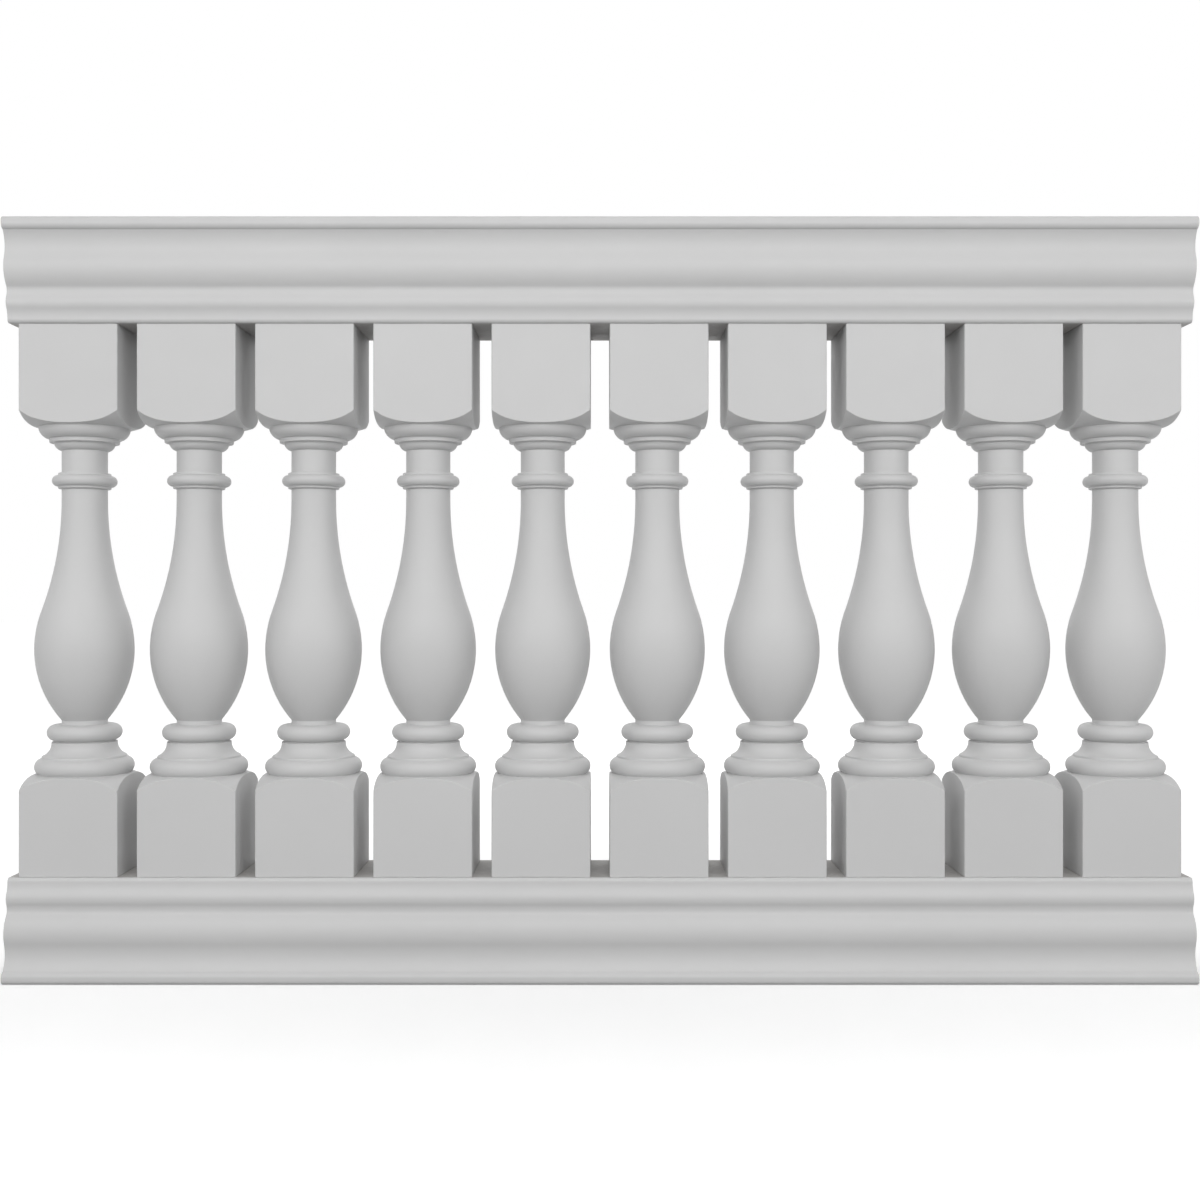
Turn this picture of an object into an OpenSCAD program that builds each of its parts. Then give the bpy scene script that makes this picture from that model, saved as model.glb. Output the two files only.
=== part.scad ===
// One bay of a moulded fiberglass balustrade. Turned balusters with square end
// blocks stand on steel pipe cores between two rails. Both rails are the same
// hollow moulding: the handrail has its nose up, and the bottom rail is turned
// over. Flat plates close the sides that meet the balusters.
// +X runs along the rails, +Y across them and +Z up. The origin is the middle
// of the bottom rail's underside. All sizes are in millimetres.

/* [Bay] */
// Number of balusters in the bay
baluster_count = 10; // [2:1:12]
// Distance from one baluster's axis to the next
pitch = 152.4; // [140:0.1:200]

/* [Baluster] */
// Height of one baluster over its two end blocks
baluster_h = 714; // [600:1:900]
// Width of the square end blocks
block_w = 127.5; // [126:0.5:134]
// Radius of the straight neck and shaft
shaft_r = 29.25; // [26:0.25:32]
// Largest radius of the bulb
bulb_r = 63.3; // [58:0.1:64]
// Height of the bulb's widest point from the baluster's middle
bulb_z = -64.9; // [-70:0.1:-55]

/* [Pipe core] */
// Outside diameter of the pipe
pipe_od = 38.1; // [33:0.1:42]
// Wall thickness of the pipe
pipe_wall = 3; // [2:0.5:5]
// Length of pipe that stands out of each end of a baluster
pipe_stub = 43; // [20:1:75]
// Gap for adhesive all round the pipe
pipe_gap = 0.25; // [0.1:0.05:0.5]

/* [Rail] */
// Height of a rail
rail_h = 132.5; // [132.5:0.5:150]
// Wall thickness of the rail moulding
rail_wall = 5; // [3:0.5:5]
// Thickness of the plate that closes a rail
plate_t = 10; // [6:1:20]

/* [Hidden] */
$fn = 96;
RAIL_IDS = ["bottom_rail_shell", "bottom_rail_deck", "top_rail_soffit", "top_rail_shell"];
function numbered(name, i) = str(name, "_", i < 10 ? "0" : "", i);

gelcoat = [0.80, 0.80, 0.80];
laminate = [0.56, 0.54, 0.51];
steel = [0.66, 0.65, 0.64];

rail_l = baluster_count * pitch;
rail_top_z = rail_h + baluster_h;
middle_z = rail_h + baluster_h / 2;
pipe_l = baluster_h + 2 * pipe_stub;
hole_d = pipe_od + 2 * pipe_gap;
overlap = 5;
arc_steps = 8;

// ---- arcs -------------------------------------------------------------
// An arc of radius r about (c, z) from height z0 to height z1. It bulges
// away from the axis, or is hollow towards it.
function bulge(c, z, r, z0, z1, n = arc_steps) =
    let (a0 = asin((z0 - z) / r), a1 = asin((z1 - z) / r))
    [for (i = [0:n]) let (a = a0 + (a1 - a0) * i / n) [c + r * cos(a), z + r * sin(a)]];
function hollow(c, z, r, z0, z1, n = arc_steps) =
    [for (p = bulge(-c, z, r, z0, z1, n)) [-p[0], p[1]]];

// Two arcs that meet smoothly between vertical tangents a distance d across
// and h high have radii that add up to this.
function ogee_sum(d, h) = (d * d + h * h) / (2 * d);

// ---- baluster ---------------------------------------------------------
// Heights are counted from the baluster's middle.
shoulder_arc = [52.3, 276.9, 48.65];
shoulder_start_r = 54;
// The shoulder's arc runs on just past the block's corners.
shoulder_end_r = block_w * sqrt(2) / 2 + 1;
// The turned part ends inside the blocks, at this height.
neck_end_z = 229.2;

base_torus = [51.8, -219.8, 11.8];
base_fillet_r = 54.1;
cove = [59.6, -188.8, 17.6];
cove_top_z = -187.2;
low_groove_r = 38.6;
low_torus = [37.3, -174.8, 10.7];
bulb_lower_arc_r = 146.2;
bulb_upper_arc_r = 151;
flare_z = 133;
ring = [34.1, 158.3, 7.35];
// Each side of the ring steps down to the shaft: [radius, height from the ring's middle]
ring_fillet = [[33.9, 7.6], [33.5, 10.4], [shaft_r, 10.4]];
neck_top_z = 198.2;
small_ovolo = [27, 209.9, 11.95];
upper_fillet = [[44.4, 208.3], [45, 213.8]];
large_ovolo = [41.7, 229.5, 16.6];

flare_arc_r = ogee_sum(bulb_r - shaft_r, flare_z - bulb_z) - bulb_upper_arc_r;
turn_z = bulb_z + (flare_z - bulb_z) * bulb_upper_arc_r / (bulb_upper_arc_r + flare_arc_r);
bulb_lower_arc = [bulb_r - bulb_lower_arc_r, bulb_z, bulb_lower_arc_r];
low_top_z = low_torus[1] + low_torus[2];

// Height at which an arc [centre, height, radius] reaches radius r
function above(arc, r) = arc[1] + sqrt(pow(arc[2], 2) - pow(r - arc[0], 2));
function below(arc, r) = arc[1] - sqrt(pow(arc[2], 2) - pow(r - arc[0], 2));

// The turned part. Both of its ends reach into the square blocks.
turned_outline = concat(
    [[0, -neck_end_z]],
    bulge(base_torus[0], base_torus[1], base_torus[2], -neck_end_z, above(base_torus, base_fillet_r)),
    hollow(cove[0], cove[1], cove[2], below(cove, base_fillet_r), cove[1]),
    [[cove[0] - cove[2], cove_top_z], [low_groove_r, cove_top_z]],
    bulge(low_torus[0], low_torus[1], low_torus[2], below(low_torus, low_groove_r), low_top_z,
        2 * arc_steps),
    [[shaft_r, low_top_z]],
    bulge(bulb_lower_arc[0], bulb_z, bulb_lower_arc_r, below(bulb_lower_arc, shaft_r), bulb_z),
    bulge(bulb_r - bulb_upper_arc_r, bulb_z, bulb_upper_arc_r, bulb_z, turn_z),
    hollow(shaft_r + flare_arc_r, flare_z, flare_arc_r, turn_z, flare_z),
    [for (i = [len(ring_fillet) - 1:-1:0]) [ring_fillet[i][0], ring[1] - ring_fillet[i][1]]],
    bulge(ring[0], ring[1], ring[2], ring[1] - ring[2], ring[1] + ring[2], 2 * arc_steps),
    [for (step = ring_fillet) [step[0], ring[1] + step[1]]],
    [[shaft_r, neck_top_z]],
    bulge(small_ovolo[0], small_ovolo[1], small_ovolo[2], neck_top_z, upper_fillet[0][1]),
    upper_fillet,
    bulge(large_ovolo[0], large_ovolo[1], large_ovolo[2], upper_fillet[1][1], neck_end_z),
    [[0, neck_end_z]]);

// The turned shoulder that the square block is cut to
shoulder_low_z = below(shoulder_arc, shoulder_start_r);
shoulder_outline = concat(
    [[0, shoulder_low_z]],
    bulge(shoulder_arc[0], shoulder_arc[1], shoulder_arc[2],
        shoulder_low_z, below(shoulder_arc, shoulder_end_r), 2 * arc_steps),
    [[shoulder_end_r, baluster_h / 2 + overlap], [0, baluster_h / 2 + overlap]]);

module end_block() {
    intersection() {
        rotate_extrude() polygon(shoulder_outline);
        translate([-block_w / 2, -block_w / 2, 0]) cube([block_w, block_w, baluster_h / 2]);
    }
}

module at_place(i) {
    translate([(i - (baluster_count + 1) / 2) * pitch, 0, middle_z]) children();
}

module baluster(i) {
    color(gelcoat) at_place(i) difference() {
        union() {
            rotate_extrude() polygon(turned_outline);
            end_block();
            mirror([0, 0, 1]) end_block();
        }
        cylinder(h = baluster_h + overlap, d = hole_d, center = true);
    }
}

module pipe(i) {
    color(steel) at_place(i) difference() {
        cylinder(h = pipe_l, d = pipe_od, center = true);
        cylinder(h = pipe_l + overlap, d = pipe_od - 2 * pipe_wall, center = true);
    }
}

// ---- rails ------------------------------------------------------------
// The rail section lists [projection from the baluster block's face, height
// from the plate's face]. Each arc is [projection of its centre, height, radius].
lip_arc = [-0.15, 5, 5];
fascia_z = 6.5;
fascia_arc_r = 23.4;
bead_arc = [-3.65, 26, 14];
bead_front = bead_arc[0] + bead_arc[2];
valley_back = 6.7;
valley_arc_r = 9;
wave_front = [18.1, 70.8];
wave_back = [13.5, 95.7];
nose_crease_z = 116.4;
nose_start_z = 116.8;
nose_arc = [18.5, 123.8, 7.6];
nose_edge_arc = [20.5, 126.9, 5.6];
section_h = nose_edge_arc[1] + nose_edge_arc[2];

// The fascia's hollow runs smoothly into the bead.
fascia_bead_sum = fascia_arc_r + bead_arc[2];
bead_foot = bead_arc[1] - fascia_z;
bead_base_z = bead_arc[1] - bead_foot * bead_arc[2] / fascia_bead_sum;
fascia_arc = [bead_arc[0] + sqrt(pow(fascia_bead_sum, 2) - pow(bead_foot, 2)), fascia_z, fascia_arc_r];

wave_r = ogee_sum(wave_front[0] - wave_back[0], wave_back[1] - wave_front[1]) / 2;
wave_turn_z = (wave_front[1] + wave_back[1]) / 2;
// The wave's foot runs smoothly into the valley above the bead.
wave_c = wave_front[0] - wave_r;
valley_drop = sqrt(pow(wave_r + valley_arc_r, 2) - pow(valley_back + valley_arc_r - wave_c, 2));
valley_z = wave_front[1] - valley_drop;
valley_top_z = wave_front[1] - valley_drop * wave_r / (wave_r + valley_arc_r);
bead_ogee_r = ogee_sum(bead_front - valley_back, valley_z - bead_arc[1]) / 2;
bead_turn_z = (bead_arc[1] + valley_z) / 2;

// One side of the section, set in by t. Bulging arcs shrink by t and hollow
// arcs grow by t, so that the wall keeps its thickness.
function set_in(arc, z, t, side) = arc[1] + (z - arc[1]) * (arc[2] - side * t) / arc[2];
function bulge_in(arc, z0, z1, t, n = arc_steps) =
    bulge(arc[0], arc[1], arc[2] - t, set_in(arc, z0, t, 1), set_in(arc, z1, t, 1), n);
function hollow_in(arc, z0, z1, t) =
    hollow(arc[0], arc[1], arc[2] + t, set_in(arc, z0, t, -1), set_in(arc, z1, t, -1));
function side_outline(t) = concat(
    hollow_in(fascia_arc, fascia_arc[1], bead_base_z, t),
    bulge_in(bead_arc, bead_base_z, bead_arc[1], t),
    bulge_in([bead_front - bead_ogee_r, bead_arc[1], bead_ogee_r], bead_arc[1], bead_turn_z, t),
    hollow_in([valley_back + bead_ogee_r, valley_z, bead_ogee_r], bead_turn_z, valley_z, t),
    hollow_in([valley_back + valley_arc_r, valley_z, valley_arc_r], valley_z, valley_top_z, t),
    bulge_in([wave_c, wave_front[1], wave_r], valley_top_z, wave_turn_z, t),
    hollow_in([wave_back[0] + wave_r, wave_back[1], wave_r], wave_turn_z, nose_crease_z, t),
    bulge_in(nose_arc, nose_start_z, nose_arc[1], t),
    bulge_in(nose_edge_arc, nose_edge_arc[1], section_h, t, arc_steps / 2));

// A side's points moved out to the block's face, and raised with the rail
function placed(points, side) =
    [for (p = points)
        [side * (block_w / 2 + p[0]), p[1] + (p[1] < wave_turn_z ? 0 : rail_h - section_h)]];
function reversed(points) = [for (i = [len(points) - 1:-1:0]) points[i]];
function both_sides(points) = concat(placed(points, 1), reversed(placed(points, -1)));

outer_outline = both_sides(concat(
    bulge(lip_arc[0], lip_arc[1], lip_arc[2], 0, lip_arc[1]), side_outline(0)));
seat = fascia_arc[0] - fascia_arc[2] - rail_wall;
inner_outline = both_sides(concat([[seat, -overlap]], side_outline(rail_wall)));
plate_w = block_w + 2 * seat;

module along_rail(length) {
    rotate([90, 0, 90]) linear_extrude(height = length, center = true) children();
}

module rail_shell() {
    color(gelcoat) difference() {
        along_rail(rail_l) polygon(outer_outline);
        along_rail(rail_l + overlap) polygon(inner_outline);
    }
}

// The plate between the lips of a rail, with a hole for each pipe
module rail_plate() {
    color(laminate) difference() {
        translate([-rail_l / 2, -plate_w / 2, 0]) cube([rail_l, plate_w, plate_t]);
        for (i = [1:baluster_count])
            translate([(i - (baluster_count + 1) / 2) * pitch, 0, -overlap])
                cylinder(h = plate_t + 2 * overlap, d = hole_d);
    }
}

module bottom_rail_shell() translate([0, 0, rail_h]) mirror([0, 0, 1]) rail_shell();
module bottom_rail_deck() translate([0, 0, rail_h - plate_t]) rail_plate();
module top_rail_soffit() translate([0, 0, rail_top_z]) rail_plate();
module top_rail_shell() translate([0, 0, rail_top_z]) rail_shell();

bottom_rail_shell();
bottom_rail_deck();
top_rail_soffit();
top_rail_shell();
for (i = [1:baluster_count]) {
    baluster(i);
    pipe(i);
}
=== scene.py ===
"""Looks for one bay of a moulded fiberglass balustrade.

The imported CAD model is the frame: it says where every baluster, pipe, plate and
rail stands. Each CAD node is replaced by a finer mesh of the same shape, with
softened arrises, and gets a procedural finish: satin gelcoat on the mouldings,
bare laminate on the plates and inside the rails, and galvanised steel pipe.
Blender works in metres; outlines here are in millimetres, as in the CAD source.
+X runs along the rails, -Y is the front and +Z is up.
"""
import math
from functools import partial, reduce

import bpy
from mathutils import Matrix, Vector


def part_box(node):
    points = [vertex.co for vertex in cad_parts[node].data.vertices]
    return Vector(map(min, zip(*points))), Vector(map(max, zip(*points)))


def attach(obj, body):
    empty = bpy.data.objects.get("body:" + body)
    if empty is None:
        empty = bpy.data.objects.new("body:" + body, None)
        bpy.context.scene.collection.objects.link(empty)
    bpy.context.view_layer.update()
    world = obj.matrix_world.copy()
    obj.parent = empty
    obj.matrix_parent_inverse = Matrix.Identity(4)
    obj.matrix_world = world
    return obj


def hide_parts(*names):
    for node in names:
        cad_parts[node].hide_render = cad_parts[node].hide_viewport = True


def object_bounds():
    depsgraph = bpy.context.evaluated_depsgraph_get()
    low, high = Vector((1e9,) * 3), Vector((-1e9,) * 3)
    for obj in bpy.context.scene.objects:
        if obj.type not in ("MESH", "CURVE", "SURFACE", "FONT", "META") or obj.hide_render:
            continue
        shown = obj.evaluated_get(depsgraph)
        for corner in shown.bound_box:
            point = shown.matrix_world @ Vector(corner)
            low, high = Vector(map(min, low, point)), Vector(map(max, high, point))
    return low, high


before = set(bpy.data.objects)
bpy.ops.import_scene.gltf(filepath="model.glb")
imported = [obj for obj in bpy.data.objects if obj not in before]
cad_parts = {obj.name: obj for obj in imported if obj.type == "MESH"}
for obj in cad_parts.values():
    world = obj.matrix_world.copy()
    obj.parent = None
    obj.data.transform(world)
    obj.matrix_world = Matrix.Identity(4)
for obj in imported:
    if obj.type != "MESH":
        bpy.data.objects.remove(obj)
cad_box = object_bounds()

MM = 0.001
BODY = "root"
# Faces that turn by more than this meet in a crisp edge.
CRISP_TURN = math.radians(35)
# A path that turns by more than this has a corner, which is then rounded.
CORNER_TURN = math.radians(18)
# How far along the path the rounding of an edge or a crease reaches from the corner, in mm
EDGE_REACH = 0.9
CREASE_REACH = 0.3
# The share of the way to the next corner that one corner may use
CORNER_SHARE = 0.48
# How many reaches from the corner the point lies that keeps the next flat flat
FLAT_MARK = 2.2


# ------------------------------------------------------------------ outlines
# A point is (distance from the axis or the block's face, height). An arc is
# (distance of its centre, height of its centre, radius).

def bulge(arc, z0, z1, steps=12):
    """Points of an arc from height z0 to z1 that bulges away from the axis."""
    c, z, r = arc
    a0, a1 = (math.asin(max(-1.0, min(1.0, (h - z) / r))) for h in (z0, z1))
    turns = [a0 + (a1 - a0) * i / steps for i in range(steps + 1)]
    return [(c + r * math.cos(a), z + r * math.sin(a)) for a in turns]


def hollow(arc, z0, z1, steps=12):
    """Points of an arc from height z0 to z1 that is hollow towards the axis."""
    c, z, r = arc
    return [(-x, h) for x, h in bulge((-c, z, r), z0, z1, steps)]


def above(arc, r):
    """The upper height at which an arc reaches distance r."""
    return arc[1] + math.sqrt(arc[2] ** 2 - (r - arc[0]) ** 2)


def below(arc, r):
    """The lower height at which an arc reaches distance r."""
    return 2 * arc[1] - above(arc, r)


def ogee_sum(across, high):
    """What the radii of two arcs add up to, where they join two vertical tangents smoothly."""
    return (across ** 2 + high ** 2) / (2 * across)


def lerp(a, b, t):
    """The point a share t of the way from a to b."""
    return tuple(p + (q - p) * t for p, q in zip(a, b))


def spread(steps):
    """Even marks from -1 to 1."""
    return [2 * i / steps - 1 for i in range(steps + 1)]


def bezier(a, b, c, steps=4):
    """Points that round the corner b between a and c."""
    marks = [i / steps for i in range(steps + 1)]
    return [lerp(lerp(a, b, t), lerp(b, c, t), t) for t in marks]


def path_lengths(points):
    """How far along the path each point lies."""
    along = [0.0]
    for a, b in zip(points, points[1:]):
        along.append(along[-1] + math.dist(a, b))
    return along


def point_at(points, along, s):
    """The point at path length s."""
    for k in range(1, len(points)):
        if s <= along[k]:
            gap = along[k] - along[k - 1]
            return lerp(points[k - 1], points[k], (s - along[k - 1]) / gap if gap else 0.0)
    return points[-1]


def turn_at(points, i):
    """How far a path turns left at one of its points, in radians."""
    (ax, ay), (bx, by), (cx, cy) = points[i - 1:i + 2]
    turn = math.atan2(cy - by, cx - bx) - math.atan2(by - ay, bx - ax)
    return (turn + math.pi) % (2 * math.pi) - math.pi


def distinct(points):
    """The path without points that repeat the one before."""
    return [p for i, p in enumerate(points) if i == 0 or math.dist(p, points[i - 1]) > 1e-6]


def softened(points):
    """The upward path with its edges rounded and its creases slightly filled.

    The solid lies to the left of the path, so an edge turns left and a crease turns right.
    A point is added either side of each corner to keep the flats flat.
    """
    points = distinct(points)
    along = path_lengths(points)
    turns = {i: turn_at(points, i) for i in range(1, len(points) - 1)}
    corners = [i for i, turn in turns.items() if abs(turn) > CORNER_TURN]
    stops = [0.0] + [along[i] for i in corners] + [along[-1]]
    kept = list(zip(along, points))
    for n, i in enumerate(corners):
        s = along[i]
        room = CORNER_SHARE * min(s - stops[n], stops[n + 2] - s)
        near = min(EDGE_REACH if turns[i] > 0 else CREASE_REACH, room)
        kept = [(t, p) for t, p in kept if abs(t - s) > near]
        ends = [point_at(points, along, t) for t in (s - near, s + near)]
        curve = bezier(ends[0], points[i], ends[1])
        kept += [(s + near * mark, p) for mark, p in zip(spread(len(curve) - 1), curve)]
        for t in (s - FLAT_MARK * near, s + FLAT_MARK * near):
            if abs(t - s) < room:
                kept.append((t, point_at(points, along, t)))
    return [p for t, p in sorted(kept)]


def parallel(points, shift, closed=False):
    """The path moved to its left by shift."""
    last = len(points) - 1
    moved = []
    for i, (x, y) in enumerate(points):
        a = points[i - 1] if closed or i > 0 else points[0]
        b = points[(i + 1) % len(points)] if closed or i < last else points[last]
        size = math.dist(a, b)
        moved.append((x - shift * (b[1] - a[1]) / size, y + shift * (b[0] - a[0]) / size))
    return moved


# ---------------------------------------------------------------- mesh tools

def skin(loops, closed=False):
    """Quads through equal rings of points. A closed skin joins the last ring to the first."""
    size = len(loops[0])
    verts = [point for loop in loops for point in loop]
    faces = []
    for row in range(len(loops) if closed else len(loops) - 1):
        low = row * size
        high = (row + 1) % len(loops) * size
        for i in range(size):
            j = (i + 1) % size
            faces.append((low + i, low + j, high + j, high + i))
    return verts, faces


def even_turns(count):
    """Directions spread evenly over a full turn, in radians."""
    return [2 * math.pi * i / count for i in range(count)]


def level_ring(radius, z, turns):
    """A level ring of points in mm, counterclockwise from above."""
    return [(radius * math.cos(a), radius * math.sin(a), z) for a in turns]


def mesh_of(name, verts, faces):
    """A mesh in metres from points in mm, smooth but for its crisp edges."""
    mesh = bpy.data.meshes.new(name)
    mesh.from_pydata([Vector(v) * MM for v in verts], [], faces)
    mesh.validate()
    mesh.shade_smooth()
    mesh.set_sharp_from_angle(angle=CRISP_TURN)
    return mesh


def box_mm(node):
    """A CAD node's lowest and highest corners, in mm."""
    low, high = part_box(node)
    return low / MM, high / MM


def make_piece(name, mesh, materials, node):
    """Adds the finished piece that stands for one CAD node."""
    for material in materials:
        mesh.materials.append(material)
    obj = bpy.data.objects.new(name, mesh)
    bpy.context.scene.collection.objects.link(obj)
    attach(obj, BODY)
    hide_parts(node)


def make_copies(mesh, names, prefix, material):
    """A copy of one mesh, which is about its own middle, in the place of each CAD node."""
    for name in names:
        low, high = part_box(name)
        own = mesh.copy()
        own.transform(Matrix.Translation((low + high) / 2))
        make_piece(prefix + name, own, [material], name)


# ----------------------------------------------------------------- balusters
# Heights are counted from the baluster's middle.
SHOULDER_ARC = (52.3, 276.9, 48.65)
# The shoulder shows from this radius outwards.
SHOULDER_START_R = 61
BASE_TORUS = (51.8, -219.8, 11.8)
# Where the base torus comes out of the lower shoulder
BASE_CREASE_Z = -228.75
BASE_FILLET_R = 54.1
COVE = (59.6, -188.8, 17.6)
COVE_TOP_Z = -187.2
LOW_GROOVE_R = 38.6
LOW_TORUS = (37.3, -174.8, 10.7)
SHAFT_R = 29.25
BULB_R = 63.3
BULB_Z = -64.9
BULB_LOWER_ARC_R = 146.2
BULB_UPPER_ARC_R = 151
FLARE_Z = 133
RING = (34.1, 158.3, 7.35)
# Each side of the ring steps down to the shaft: (radius, height from the ring's middle).
RING_FILLET = ((33.9, 7.6), (33.5, 10.4))
NECK_TOP_Z = 198.2
SMALL_OVOLO = (27, 209.9, 11.95)
UPPER_FILLET = ((44.4, 208.3), (45, 213.8))
LARGE_OVOLO = (41.7, 229.5, 16.6)
# Where the large ovolo goes into the upper shoulder
LARGE_CREASE_Z = 228.6
BORE_R = 19.3
BLOCK_CORNER_R = 1.5
BLOCK_END_EDGE = 1.0
# Points this far from a block's end edge keep its faces flat.
BLOCK_END_MARK = 3.0
# The crescent is the crease between the turned shoulder and the block's face.
CRESCENT_REACH = 0.5
CRESCENT_SHARE = 0.4
# How finely the skin is divided over each side of a block, and round each corner
SIDE_STEPS = 24
CORNER_STEPS = 4


def lower_outline():
    """The base: torus, fillet, cove and low torus, up to the groove under the bulb."""
    low_top = LOW_TORUS[1] + LOW_TORUS[2]
    shoulder_z = -below(SHOULDER_ARC, SHOULDER_START_R)
    points = [(SHOULDER_START_R, shoulder_z)]
    points += bulge(BASE_TORUS, BASE_CREASE_Z, above(BASE_TORUS, BASE_FILLET_R))
    points += hollow(COVE, below(COVE, BASE_FILLET_R), COVE[1])
    points += [(COVE[0] - COVE[2], COVE_TOP_Z), (LOW_GROOVE_R, COVE_TOP_Z)]
    points += bulge(LOW_TORUS, below(LOW_TORUS, LOW_GROOVE_R), low_top, steps=18)
    return points + [(SHAFT_R, low_top)]


def vase_outline():
    """The bulb and the long hollow flare that draws it in to the shaft."""
    high = FLARE_Z - BULB_Z
    flare_r = ogee_sum(BULB_R - SHAFT_R, high) - BULB_UPPER_ARC_R
    turn_z = BULB_Z + high * BULB_UPPER_ARC_R / (BULB_UPPER_ARC_R + flare_r)
    lower_arc = (BULB_R - BULB_LOWER_ARC_R, BULB_Z, BULB_LOWER_ARC_R)
    upper_arc = (BULB_R - BULB_UPPER_ARC_R, BULB_Z, BULB_UPPER_ARC_R)
    return (bulge(lower_arc, below(lower_arc, SHAFT_R), BULB_Z, steps=18)
            + bulge(upper_arc, BULB_Z, turn_z)
            + hollow((SHAFT_R + flare_r, FLARE_Z, flare_r), turn_z, FLARE_Z, steps=14))


def ring_outline():
    """The ring between its two fillets."""
    middle, radius = RING[1:]
    fillet = RING_FILLET + ((SHAFT_R, RING_FILLET[-1][1]),)
    return ([(r, middle - rise) for r, rise in reversed(fillet)]
            + bulge(RING, middle - radius, middle + radius, steps=18)
            + [(r, middle + rise) for r, rise in fillet])


def upper_outline():
    """The neck's top: small ovolo, fillet and large ovolo, up to the shoulder."""
    shoulder_z = below(SHOULDER_ARC, SHOULDER_START_R)
    return ([(SHAFT_R, NECK_TOP_Z)]
            + bulge(SMALL_OVOLO, NECK_TOP_Z, UPPER_FILLET[0][1])
            + list(UPPER_FILLET)
            + bulge(LARGE_OVOLO, UPPER_FILLET[1][1], LARGE_CREASE_Z)
            + [(SHOULDER_START_R, shoulder_z)])


def turned_outline():
    """The turned part, from the start of the lower shoulder to the start of the upper one."""
    return lower_outline() + vase_outline() + ring_outline() + upper_outline()


def square_reach(turn, half, corner):
    """How far a square with rounded corners reaches from its middle in one direction."""
    turn = abs((turn + math.pi / 4) % (math.pi / 2) - math.pi / 4)
    if half * math.tan(turn) <= half - corner:
        return half / math.cos(turn)
    a = half - corner
    along = a * (math.cos(turn) + math.sin(turn))
    return along + math.sqrt(along ** 2 - 2 * a ** 2 + corner ** 2)


def baluster_turns(half):
    """Directions round a baluster: even over each side, and close together at each corner."""
    tangent = math.atan2(half - BLOCK_CORNER_R, half)
    edge = math.pi / 4 - tangent
    side = tangent - edge
    even = [side * mark for mark in spread(SIDE_STEPS)]
    corner = [math.pi / 4 + edge * mark for mark in spread(CORNER_STEPS)]
    return [q * math.pi / 2 + a for q in range(4) for a in even + corner]


def block_column(reach, top):
    """One column of points up a block: turned shoulder, crease, face, end edge and bore's mouth."""
    soft = min(CRESCENT_REACH, CRESCENT_SHARE * (reach - SHOULDER_START_R))
    crease = (reach, below(SHOULDER_ARC, reach))
    arc = bulge(SHOULDER_ARC, below(SHOULDER_ARC, SHOULDER_START_R),
                below(SHOULDER_ARC, reach - soft), steps=8)[1:]
    face_start = (reach, crease[1] + soft)
    return (arc + bezier(arc[-1], crease, face_start)[1:]
            + [(reach, face_start[1] + 2 * soft), (reach, top - BLOCK_END_MARK)]
            + bezier((reach, top - BLOCK_END_EDGE), (reach, top), (reach - BLOCK_END_EDGE, top))
            + [(reach - BLOCK_END_MARK, top), (BORE_R, top)])


def baluster_mesh(half, top):
    """A baluster about its own middle, bored through, as one closed skin."""
    turns = baluster_turns(half)
    turned = softened(turned_outline())
    columns = []
    for turn in turns:
        block = block_column(square_reach(turn, half, BLOCK_CORNER_R), top)
        lower = [(r, -z) for r, z in reversed(block)]
        columns.append(lower + turned + block)
    loops = [[(r * math.cos(a), r * math.sin(a), z) for a, (r, z) in zip(turns, row)]
             for row in zip(*columns)]
    return mesh_of("baluster", *skin(loops, closed=True))


def make_balusters(names, material):
    """The balusters, which are all alike."""
    low, high = box_mm(names[0])
    mesh = baluster_mesh((high.y - low.y) / 2, (high.z - low.z) / 2)
    make_copies(mesh, names, "moulded_", material)


# --------------------------------------------------------------------- pipes
PIPE_WALL = 3
PIPE_CHAMFER = 0.6
# Points this far from a pipe's end keep its wall straight.
PIPE_END_MARK = 4 * PIPE_CHAMFER
PIPE_STEPS = 64


def pipe_mesh(outer, half_length):
    """A length of pipe about its own middle, with its cut ends deburred."""
    inner = outer - PIPE_WALL
    mark = half_length - PIPE_END_MARK
    bevel = half_length - PIPE_CHAMFER
    end = [(outer, mark), (outer, bevel), (outer - PIPE_CHAMFER, half_length),
           (inner + PIPE_CHAMFER, half_length), (inner, bevel), (inner, mark)]
    section = [(r, -z) for r, z in reversed(end)] + end
    turns = even_turns(PIPE_STEPS)
    return mesh_of("pipe", *skin([level_ring(r, z, turns) for r, z in section], closed=True))


def make_pipes(names, material):
    """The pipes, which are all alike."""
    low, high = box_mm(names[0])
    mesh = pipe_mesh((high.x - low.x) / 2, (high.z - low.z) / 2)
    make_copies(mesh, names, "steel_", material)


# --------------------------------------------------------------------- rails
# The section lists (projection from the block's face, height from the plate's face),
# and then the radius where it is an arc.
LIP = (-0.15, 5, 5)
FASCIA_Z = 6.5
FASCIA_R = 23.4
BEAD = (-3.65, 26, 14)
VALLEY_BACK = 6.7
VALLEY_ARC_R = 9
WAVE_FRONT = (18.1, 70.8)
WAVE_BACK = (13.5, 95.7)
NOSE_CREASE_Z = 116.4
NOSE_START_Z = 116.8
NOSE = (18.5, 123.8, 7.6)
NOSE_EDGE = (20.5, 126.9, 5.6)
# Points on the flat beyond the nose, counted back from the centre of the nose's edge
FLAT_TOP_MARKS = (2, 12)
RAIL_WALL = 5
LIP_STEPS = 12
CUT_CHAMFER = 0.4
RAIL_PARTS = 24
# The order of a rail's materials
MOULDED, INSIDE, CUT = 0, 1, 2


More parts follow.
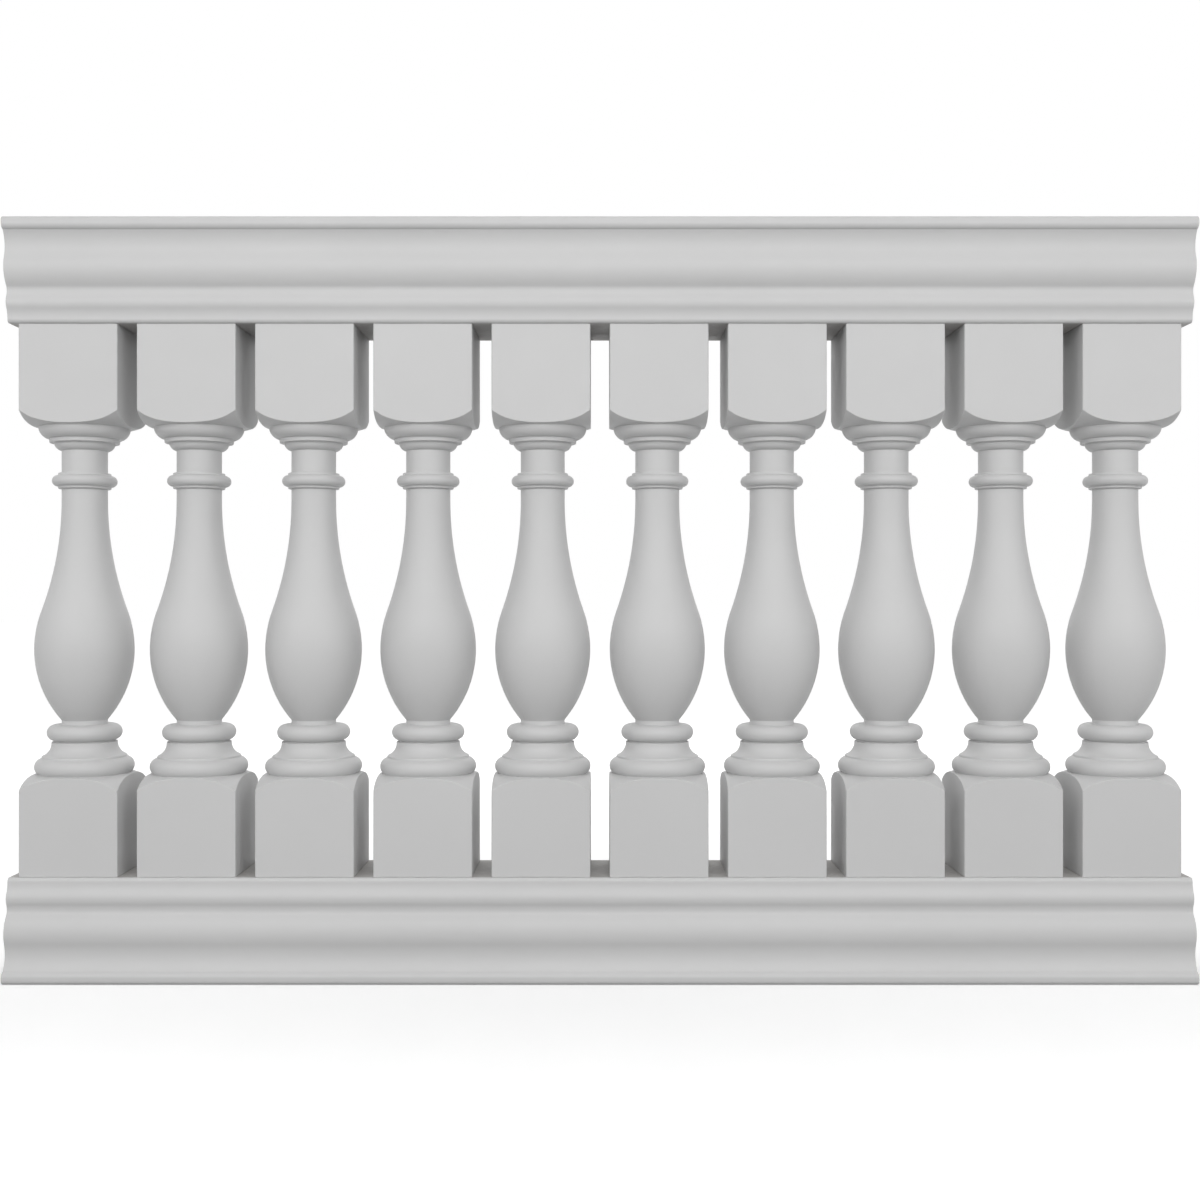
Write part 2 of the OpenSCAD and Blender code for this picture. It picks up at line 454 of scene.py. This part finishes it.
def wave_side():
    """The long wave, from the valley above the bead to the crease under the nose."""
    wave_r = ogee_sum(WAVE_FRONT[0] - WAVE_BACK[0], WAVE_BACK[1] - WAVE_FRONT[1]) / 2
    turn_z = (WAVE_FRONT[1] + WAVE_BACK[1]) / 2
    reach = wave_r + VALLEY_ARC_R
    wave = (WAVE_FRONT[0] - wave_r, WAVE_FRONT[1], wave_r)
    drop = math.sqrt(reach ** 2 - (VALLEY_BACK + VALLEY_ARC_R - wave[0]) ** 2)
    valley = (VALLEY_BACK + VALLEY_ARC_R, WAVE_FRONT[1] - drop, VALLEY_ARC_R)
    valley_top = WAVE_FRONT[1] - drop * wave_r / reach
    hollow_back = (WAVE_BACK[0] + wave_r, WAVE_BACK[1], wave_r)
    return (hollow(valley, valley[1], valley_top, steps=8)
            + bulge(wave, valley_top, turn_z, steps=20)
            + hollow(hollow_back, turn_z, NOSE_CREASE_Z, steps=16))


def rail_side():
    """The face of one side, from the fascia's foot to the flat beyond the nose."""
    reach = FASCIA_R + BEAD[2]
    foot = BEAD[1] - FASCIA_Z
    fascia = (BEAD[0] + math.sqrt(reach ** 2 - foot ** 2), FASCIA_Z, FASCIA_R)
    bead_base = BEAD[1] - foot * BEAD[2] / reach
    bead_front = BEAD[0] + BEAD[2]
    wave = wave_side()
    valley_z = wave[0][1]
    bead_r = ogee_sum(bead_front - VALLEY_BACK, valley_z - BEAD[1]) / 2
    bead_turn = (BEAD[1] + valley_z) / 2
    top = NOSE_EDGE[1] + NOSE_EDGE[2]
    return softened(
        hollow(fascia, FASCIA_Z, bead_base)
        + bulge(BEAD, bead_base, BEAD[1])
        + bulge((bead_front - bead_r, BEAD[1], bead_r), BEAD[1], bead_turn)
        + hollow((VALLEY_BACK + bead_r, valley_z, bead_r), bead_turn, valley_z)
        + wave
        + bulge(NOSE, NOSE_START_Z, NOSE[1])
        + bulge(NOSE_EDGE, NOSE_EDGE[1], top)
        + [(NOSE_EDGE[0] - back, top) for back in FLAT_TOP_MARKS])


def both_sides(side, half):
    """A side's points on +Y, then the mirrored ones on -Y, as (y, z)."""
    return [(half + q, z) for q, z in side] + [(-half - q, z) for q, z in reversed(side)]


def rail_section(half):
    """The outside of a rail's section and, point for point, the inside. Its open side is down."""
    side = rail_side()
    inner = parallel(side, RAIL_WALL)
    seat = (inner[0][0], 0)
    lip = bulge(LIP, 0, LIP[1], LIP_STEPS)
    seat_side = [lerp(seat, inner[0], i / (LIP_STEPS + 1)) for i in range(LIP_STEPS + 1)]
    return both_sides(lip + side, half), both_sides(seat_side + inner, half)


def rail_mesh(name, half, length, place):
    """A rail cut square at both ends. place turns a section point (x, y, z) into its position."""
    outside, inside = rail_section(half)
    section = outside + inside[::-1]
    cut = parallel(section, CUT_CHAMFER, closed=True)
    end = length / 2
    inner_end = end - CUT_CHAMFER
    stations = [inner_end * mark for mark in spread(RAIL_PARTS)]
    loops = [[(-end, y, z) for y, z in cut]]
    loops += [[(x, y, z) for y, z in section] for x in stations]
    loops += [[(end, y, z) for y, z in cut]]
    verts, faces = skin(loops)
    size, reach = len(section), len(outside)
    kinds = [MOULDED if i < reach - 1 else INSIDE for i in range(size)] * (len(loops) - 1)
    far = len(verts) - size
    for i in range(reach - 1):
        j = size - 1 - i
        faces.append((i, j, j - 1, i + 1))
        faces.append((far + i, far + i + 1, far + j - 1, far + j))
        kinds += [CUT, CUT]
    mesh = mesh_of(name, [place(v) for v in verts], faces)
    mesh.polygons.foreach_set("material_index", kinds)
    return mesh


def make_rail(node, plate_node, materials):
    """A rail whose open side meets the balusters.

    The handrail is upright. The bottom rail is the same moulding turned over.
    """
    low, high = box_mm(node)
    plate_low, plate_high = box_mm(plate_node)
    upright = plate_low.z - low.z < high.z - plate_high.z

    def place(point):
        """Where a point of the upright section comes in the model."""
        x, y, z = point
        return (x, y, low.z + z) if upright else (x, -y, high.z - z)

    block_half = (high.y - low.y) / 2 - NOSE[0] - NOSE[2]
    mesh = rail_mesh(node, block_half, high.x - low.x, place)
    make_piece("moulded_" + node, mesh, materials, node)


# -------------------------------------------------------------------- plates
PLATE_EDGE = 0.5
CELL_PARTS = 16
# The order of a plate's materials
FACE, EDGE = 0, 1


def rectangle(x0, x1, y0, y1):
    """Points evenly round a rectangle, counterclockwise from its corner (x0, y0)."""
    corners = [(x0, y0), (x1, y0), (x1, y1), (x0, y1)]
    return [lerp(a, b, i / CELL_PARTS) for a, b in zip(corners, corners[1:] + corners[:1])
            for i in range(CELL_PARTS)]


def rim_of(cells):
    """The outline round a row of rectangles, counterclockwise."""
    side = CELL_PARTS
    near = [point for cell in cells for point in cell[:side]]
    far = [point for cell in reversed(cells) for point in cell[2 * side:3 * side]]
    return near + cells[-1][side:2 * side] + far + cells[0][3 * side:]


def welded(verts, faces):
    """The same faces, with points in the same place joined into one."""
    keys = [tuple(round(v, 6) for v in vert) for vert in verts]
    places = {key: i for i, key in enumerate(dict.fromkeys(keys))}
    return list(places), [tuple(places[keys[i]] for i in face) for face in faces]


def plate_mesh(name, low, high, holes):
    """A flat plate with eased edges, bored through for each pipe. It is one cell for each hole."""
    def level(path, z):
        """The path at one height."""
        return [(x, y, z) for x, y in path]

    def eased(path):
        """The path, kept clear of the plate's edges."""
        return [(min(max(x, low.x + PLATE_EDGE), high.x - PLATE_EDGE),
                 min(max(y, low.y + PLATE_EDGE), high.y - PLATE_EDGE)) for x, y in path]

    bottom, top = low.z + PLATE_EDGE, high.z - PLATE_EDGE
    borders = [low.x] + [(a.x + b.x) / 2 for a, b in zip(holes, holes[1:])] + [high.x]
    cells = [rectangle(a, b, low.y, high.y) for a, b in zip(borders, borders[1:])]
    rim = rim_of(cells)
    verts, faces = skin([level(eased(rim), low.z), level(rim, bottom),
                         level(rim, top), level(eased(rim), high.z)])
    kinds = [EDGE] * len(faces)
    first_corner = math.pi * 5 / 4
    turns = [first_corner + a for a in even_turns(4 * CELL_PARTS)]
    for cell, hole in zip(cells, holes):
        rings = [[(hole.x + r * math.cos(a), hole.y + r * math.sin(a)) for a in turns]
                 for r in (BORE_R + PLATE_EDGE, BORE_R)]
        cell_verts, cell_faces = skin([
            level(eased(cell), high.z), level(rings[0], high.z), level(rings[1], top),
            level(rings[1], bottom), level(rings[0], low.z), level(eased(cell), low.z)])
        faces += [tuple(len(verts) + i for i in face) for face in cell_faces]
        verts += cell_verts
        kinds += [kind for kind in (FACE, EDGE, EDGE, EDGE, FACE) for _ in turns]
    mesh = mesh_of(name, *welded(verts, faces))
    mesh.polygons.foreach_set("material_index", kinds)
    return mesh


def make_plate(node, pipe_names, materials):
    """The plate that closes a rail, with a hole where each pipe stands."""
    low, high = box_mm(node)
    holes = [sum(box_mm(name), Vector()) / 2 for name in pipe_names]
    mesh = plate_mesh(node, low, high, holes)
    make_piece("laminate_" + node, mesh, materials, node)


# ------------------------------------------------------------------ finishes
# A Mix node's colour sockets share their names with its number sockets, so they are
# found by their places in its lists.
MIX_COLOUR_INPUTS = (6, 7)
MIX_COLOUR_OUTPUT = 2


def feed(tree, socket, value):
    """Links a socket to another node's socket, or sets its number or vector."""
    if isinstance(value, bpy.types.NodeSocket):
        tree.links.new(value, socket)
    else:
        socket.default_value = value


def math_node(tree, operation, *values):
    """The result of a Math node. Its values are numbers or other nodes' sockets."""
    node = tree.nodes.new("ShaderNodeMath")
    node.operation = operation
    for socket, value in zip(node.inputs, values):
        feed(tree, socket, value)
    return node.outputs[0]


class Finish:
    """A node material. Its textures follow the object's own coordinates, in metres."""

    def __init__(self, name):
        self.material = bpy.data.materials.new(name)
        self.material.use_nodes = True
        self.tree = self.material.node_tree
        self.surface = self.tree.nodes["Principled BSDF"]
        self.place = self.add("ShaderNodeTexCoord").outputs["Object"]

    def add(self, kind, **inputs):
        """A new node. An input is a number, a vector or another node's socket."""
        node = self.tree.nodes.new(kind)
        for name, value in inputs.items():
            feed(self.tree, node.inputs[name.replace("_", " ")], value)
        return node

    def noise(self, scale, detail=2.0, place=None):
        """Smooth noise with features about 1 / scale metres across."""
        return self.add("ShaderNodeTexNoise", Vector=place or self.place, Scale=scale,
                        Detail=detail).outputs["Fac"]

    def span(self, factor, low, high, start=0.3, stop=0.7):
        """The factor, spread from low to high."""
        return self.add("ShaderNodeMapRange", Value=factor, From_Min=start, From_Max=stop,
                        To_Min=low, To_Max=high).outputs["Result"]

    def tint(self, factor, first, second):
        """A colour between two, each a colour or a socket."""
        node = self.tree.nodes.new("ShaderNodeMix")
        node.data_type = "RGBA"
        feed(self.tree, node.inputs["Factor"], factor)
        for index, colour in zip(MIX_COLOUR_INPUTS, (first, second)):
            ready = colour if isinstance(colour, bpy.types.NodeSocket) else (*colour, 1)
            feed(self.tree, node.inputs[index], ready)
        return node.outputs[MIX_COLOUR_OUTPUT]

    def bump(self, height, depth, under=None):
        """A bump whose full height is depth metres, over another bump if one is given."""
        node = self.add("ShaderNodeBump", Height=height, Distance=depth)
        if under is not None:
            feed(self.tree, node.inputs["Normal"], under)
        return node.outputs["Normal"]

    def turned(self, angle, size):
        """The object's coordinates turned about Z, then divided by the size of a feature."""
        node = self.add("ShaderNodeMapping", Vector=self.place, Rotation=(0, 0, angle), Scale=size)
        node.vector_type = "TEXTURE"
        return node.outputs["Vector"]

    def wear(self, **inputs):
        """Sets the surface's own inputs."""
        for name, value in inputs.items():
            feed(self.tree, self.surface.inputs[name.replace("_", " ")], value)
        return self.material


# How bright each finish is, as linear light
GELCOAT_LEVEL = 0.60
INSIDE_LEVEL = 0.42
PLATE_LEVEL = 0.40
SAWN_LEVEL = 0.46
# A strand's length, breadth and depth, in metres
STRAND_SIZE = (0.05, 0.0016, 0.0016)
# A strand goes from hidden to shown over this span of its noise.
STRAND_SPAN = (0.52, 0.66)


def grey(level, warmth=0.0):
    """A grey of that brightness, warmer by a share of it."""
    return (level * (1 + warmth), level, level * (1 - warmth))


def gelcoat(name, level):
    """Satin pigmented gelcoat: faint drifts of tone, uneven gloss and a fine orange peel."""
    finish = Finish(name)
    drift = finish.span(finish.noise(5, 3), 0, 1)
    colour = finish.tint(drift, grey(level * 0.985), grey(level * 1.015))
    gloss = finish.span(finish.noise(38, 3), 0.47, 0.56)
    waviness = finish.bump(finish.noise(14, 1), 0.0004)
    peel = finish.bump(finish.noise(650, 2), 0.00002, waviness)
    return finish.wear(Base_Color=colour, Roughness=gloss, Normal=peel)


def strands(finish, angles):
    """Chopped glass strands lying flat in crossing directions, bright where a strand shows."""
    layers = [finish.noise(1, 3, finish.turned(a, STRAND_SIZE)) for a in angles]
    shown = [finish.span(layer, 0, 1, *STRAND_SPAN) for layer in layers]
    return reduce(partial(math_node, finish.tree, "MAXIMUM"), shown)


def laminate(name, level, angles=(0.3, 1.2, 2.2)):
    """Bare chopped-strand laminate: warm grey resin over crossing glass strands."""
    finish = Finish(name)
    shown = strands(finish, angles)
    cloud = finish.span(finish.noise(9, 3), 0, 1)
    resin = finish.tint(cloud, grey(level * 0.93, 0.035), grey(level * 1.03, 0.03))
    colour = finish.tint(shown, resin, grey(level * 1.14, 0.02))
    gloss = finish.span(finish.noise(60, 2), 0.5, 0.66)
    lie = finish.bump(shown, 0.0001)
    return finish.wear(Base_Color=colour, Roughness=gloss, Normal=lie)


def cut_laminate(name, level):
    """A sawn edge: pale resin dust, fine plies and broken strand ends."""
    finish = Finish(name)
    plies = finish.noise(1, 2, finish.turned(0, (0.02, 0.0012, 0.0012)))
    ends = finish.noise(900, 2)
    layer = finish.span(plies, 0, 1)
    ply_tone = finish.tint(layer, grey(level * 0.88, 0.04), grey(level * 1.06, 0.03))
    colour = finish.tint(finish.span(ends, 0, 1, 0.5, 0.75), ply_tone, grey(level * 1.2, 0.02))
    gloss = finish.span(ends, 0.7, 0.85)
    fuzz = finish.bump(ends, 0.0002)
    return finish.wear(Base_Color=colour, Roughness=gloss, Normal=fuzz)


def steel(name):
    """Drawn steel pipe: dull zinc with fine lengthwise streaks."""
    finish = Finish(name)
    streaks = finish.noise(1, 3, finish.turned(0, (0.0006, 0.0006, 0.03)))
    bloom = finish.noise(55, 3)
    tone = finish.tint(finish.span(streaks, 0, 1), grey(0.44, 0.02), grey(0.60, 0.01))
    colour = finish.tint(finish.span(bloom, 0, 0.5), tone, grey(0.66, 0.0))
    gloss = finish.span(bloom, 0.34, 0.5)
    grain = finish.bump(streaks, 0.00004)
    return finish.wear(Base_Color=colour, Metallic=1.0, Roughness=gloss, Normal=grain)


# --------------------------------------------------------------------- stage
# The lens is in mm, and every other length here in metres.
CAMERA_LENS = 44.58
CAMERA_DISTANCE = 1.9787
# The camera stands this much above the middle of the bay's height.
CAMERA_RISE = 0.0005
FLOOR_SIZE = 60
# The floor's tone for the light that it bounces, and its tone where it is seen
FLOOR_TONE = 0.4
FLOOR_TONE_SEEN = 0.9
# The seen floor's glow in the middle, and from this far outwards
FLOOR_GLOW_NEAR = 0.22
FLOOR_GLOW_FAR = 0.58
FLOOR_GLOW_REACH = 5.0
# The white room's strength as a light on the object
ROOM_LIGHT = 0.5


def seen_directly(tree):
    """1 for what the camera, a mirror or glass sees, and 0 for the light that falls on things."""
    rays = tree.nodes.new("ShaderNodeLightPath").outputs
    kinds = [rays["Is " + kind + " Ray"] for kind in ("Camera", "Glossy", "Transmission")]
    return reduce(partial(math_node, tree, "MAXIMUM"), kinds)


def scaled(tree, socket, low, high, reach=1.0):
    """A number that goes from low, where the socket is 0, to high, where it is at its reach."""
    node = tree.nodes.new("ShaderNodeMapRange")
    tree.links.new(socket, node.inputs["Value"])
    node.inputs["From Max"].default_value = reach
    node.inputs["To Min"].default_value = low
    node.inputs["To Max"].default_value = high
    return node.outputs["Result"]


def floor_glow(tree, seen):
    """The floor's own light, which grows outwards as the lamps' light fades."""
    place = tree.nodes.new("ShaderNodeTexCoord")
    distance = tree.nodes.new("ShaderNodeVectorMath")
    distance.operation = "LENGTH"
    tree.links.new(place.outputs["Object"], distance.inputs[0])
    ramp = scaled(tree, distance.outputs["Value"],
                  FLOOR_GLOW_NEAR, FLOOR_GLOW_FAR, FLOOR_GLOW_REACH)
    return math_node(tree, "MULTIPLY", ramp, seen)


def make_floor():
    """A level floor that shows white apart from the object's shadow, and bounces less light."""
    mesh = bpy.data.meshes.new("floor")
    half = FLOOR_SIZE / 2
    corners = [(-half, -half, 0), (half, -half, 0), (half, half, 0), (-half, half, 0)]
    mesh.from_pydata(corners, [], [(0, 1, 2, 3)])
    floor = bpy.data.objects.new("floor", mesh)
    bpy.context.scene.collection.objects.link(floor)
    material = bpy.data.materials.new("floor")
    material.use_nodes = True
    tree = material.node_tree
    tree.nodes.clear()
    seen = seen_directly(tree)
    matt = tree.nodes.new("ShaderNodeBsdfDiffuse")
    tree.links.new(scaled(tree, seen, FLOOR_TONE, FLOOR_TONE_SEEN), matt.inputs["Color"])
    glow = tree.nodes.new("ShaderNodeEmission")
    tree.links.new(floor_glow(tree, seen), glow.inputs["Strength"])
    both = tree.nodes.new("ShaderNodeAddShader")
    tree.links.new(matt.outputs[0], both.inputs[0])
    tree.links.new(glow.outputs[0], both.inputs[1])
    out = tree.nodes.new("ShaderNodeOutputMaterial")
    tree.links.new(both.outputs[0], out.inputs["Surface"])
    mesh.materials.append(material)


def make_world():
    """A white backdrop that lights the object only softly."""
    world = bpy.data.worlds.new("studio")
    world.use_nodes = True
    tree = world.node_tree
    background = tree.nodes["Background"]
    background.inputs["Color"].default_value = (1, 1, 1, 1)
    tree.links.new(scaled(tree, seen_directly(tree), ROOM_LIGHT, 1), background.inputs["Strength"])
    bpy.context.scene.world = world


def make_softbox(name, place, target, width, height, power, glints=True):
    """A rectangular lamp that the camera doesn't see. Without glints it makes no highlights."""
    data = bpy.data.lights.new(name, "AREA")
    data.shape = "RECTANGLE"
    data.size = width
    data.size_y = height
    data.energy = power
    lamp = bpy.data.objects.new(name, data)
    lamp.location = place
    lamp.rotation_euler = (Vector(target) - Vector(place)).to_track_quat("-Z", "Y").to_euler()
    lamp.visible_camera = False
    lamp.visible_glossy = glints
    bpy.context.scene.collection.objects.link(lamp)


def make_camera(middle):
    """A level camera square in front of the bay."""
    data = bpy.data.cameras.new("camera")
    data.lens = CAMERA_LENS
    camera = bpy.data.objects.new("camera", data)
    camera.location = (middle.x, middle.y - CAMERA_DISTANCE, middle.z + CAMERA_RISE)
    camera.rotation_euler = (math.pi / 2, 0, 0)
    bpy.context.scene.collection.objects.link(camera)
    bpy.context.scene.camera = camera


# --------------------------------------------------------------------- build
balusters = sorted(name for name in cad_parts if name.startswith("baluster"))
pipes = sorted(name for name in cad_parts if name.startswith("pipe"))
centre = (cad_box[0] + cad_box[1]) / 2

rail_gelcoat = gelcoat("rail_gelcoat", GELCOAT_LEVEL)
inner_laminate = laminate("inner_laminate", INSIDE_LEVEL)
plate_laminate = laminate("plate_laminate", PLATE_LEVEL, angles=(0.0, 1.0, 2.1))
sawn_edge = cut_laminate("sawn_edge", SAWN_LEVEL)
rail_materials = [rail_gelcoat, inner_laminate, sawn_edge]
plate_materials = [plate_laminate, sawn_edge]

make_rail("bottom_rail_shell", "bottom_rail_deck", rail_materials)
make_rail("top_rail_shell", "top_rail_soffit", rail_materials)
make_plate("bottom_rail_deck", pipes, plate_materials)
make_plate("top_rail_soffit", pipes, plate_materials)
make_balusters(balusters, gelcoat("baluster_gelcoat", GELCOAT_LEVEL))
make_pipes(pipes, steel("pipe_steel"))

make_floor()
make_world()
make_softbox("key", (0, -2.2, 1.5), centre, width=5, height=1.0, power=42)
make_softbox("left_fill", (-3.2, -2.2, 1.3), centre, width=2.5, height=2.5, power=8)
make_softbox("right_fill", (3.2, -2.2, 1.3), centre, width=2.5, height=2.5, power=8)
make_softbox("back_fill", (0, 3.4, 2.4), centre, width=3, height=1.6, power=60, glints=False)
make_camera(centre)
bpy.context.scene.view_settings.view_transform = "Standard"
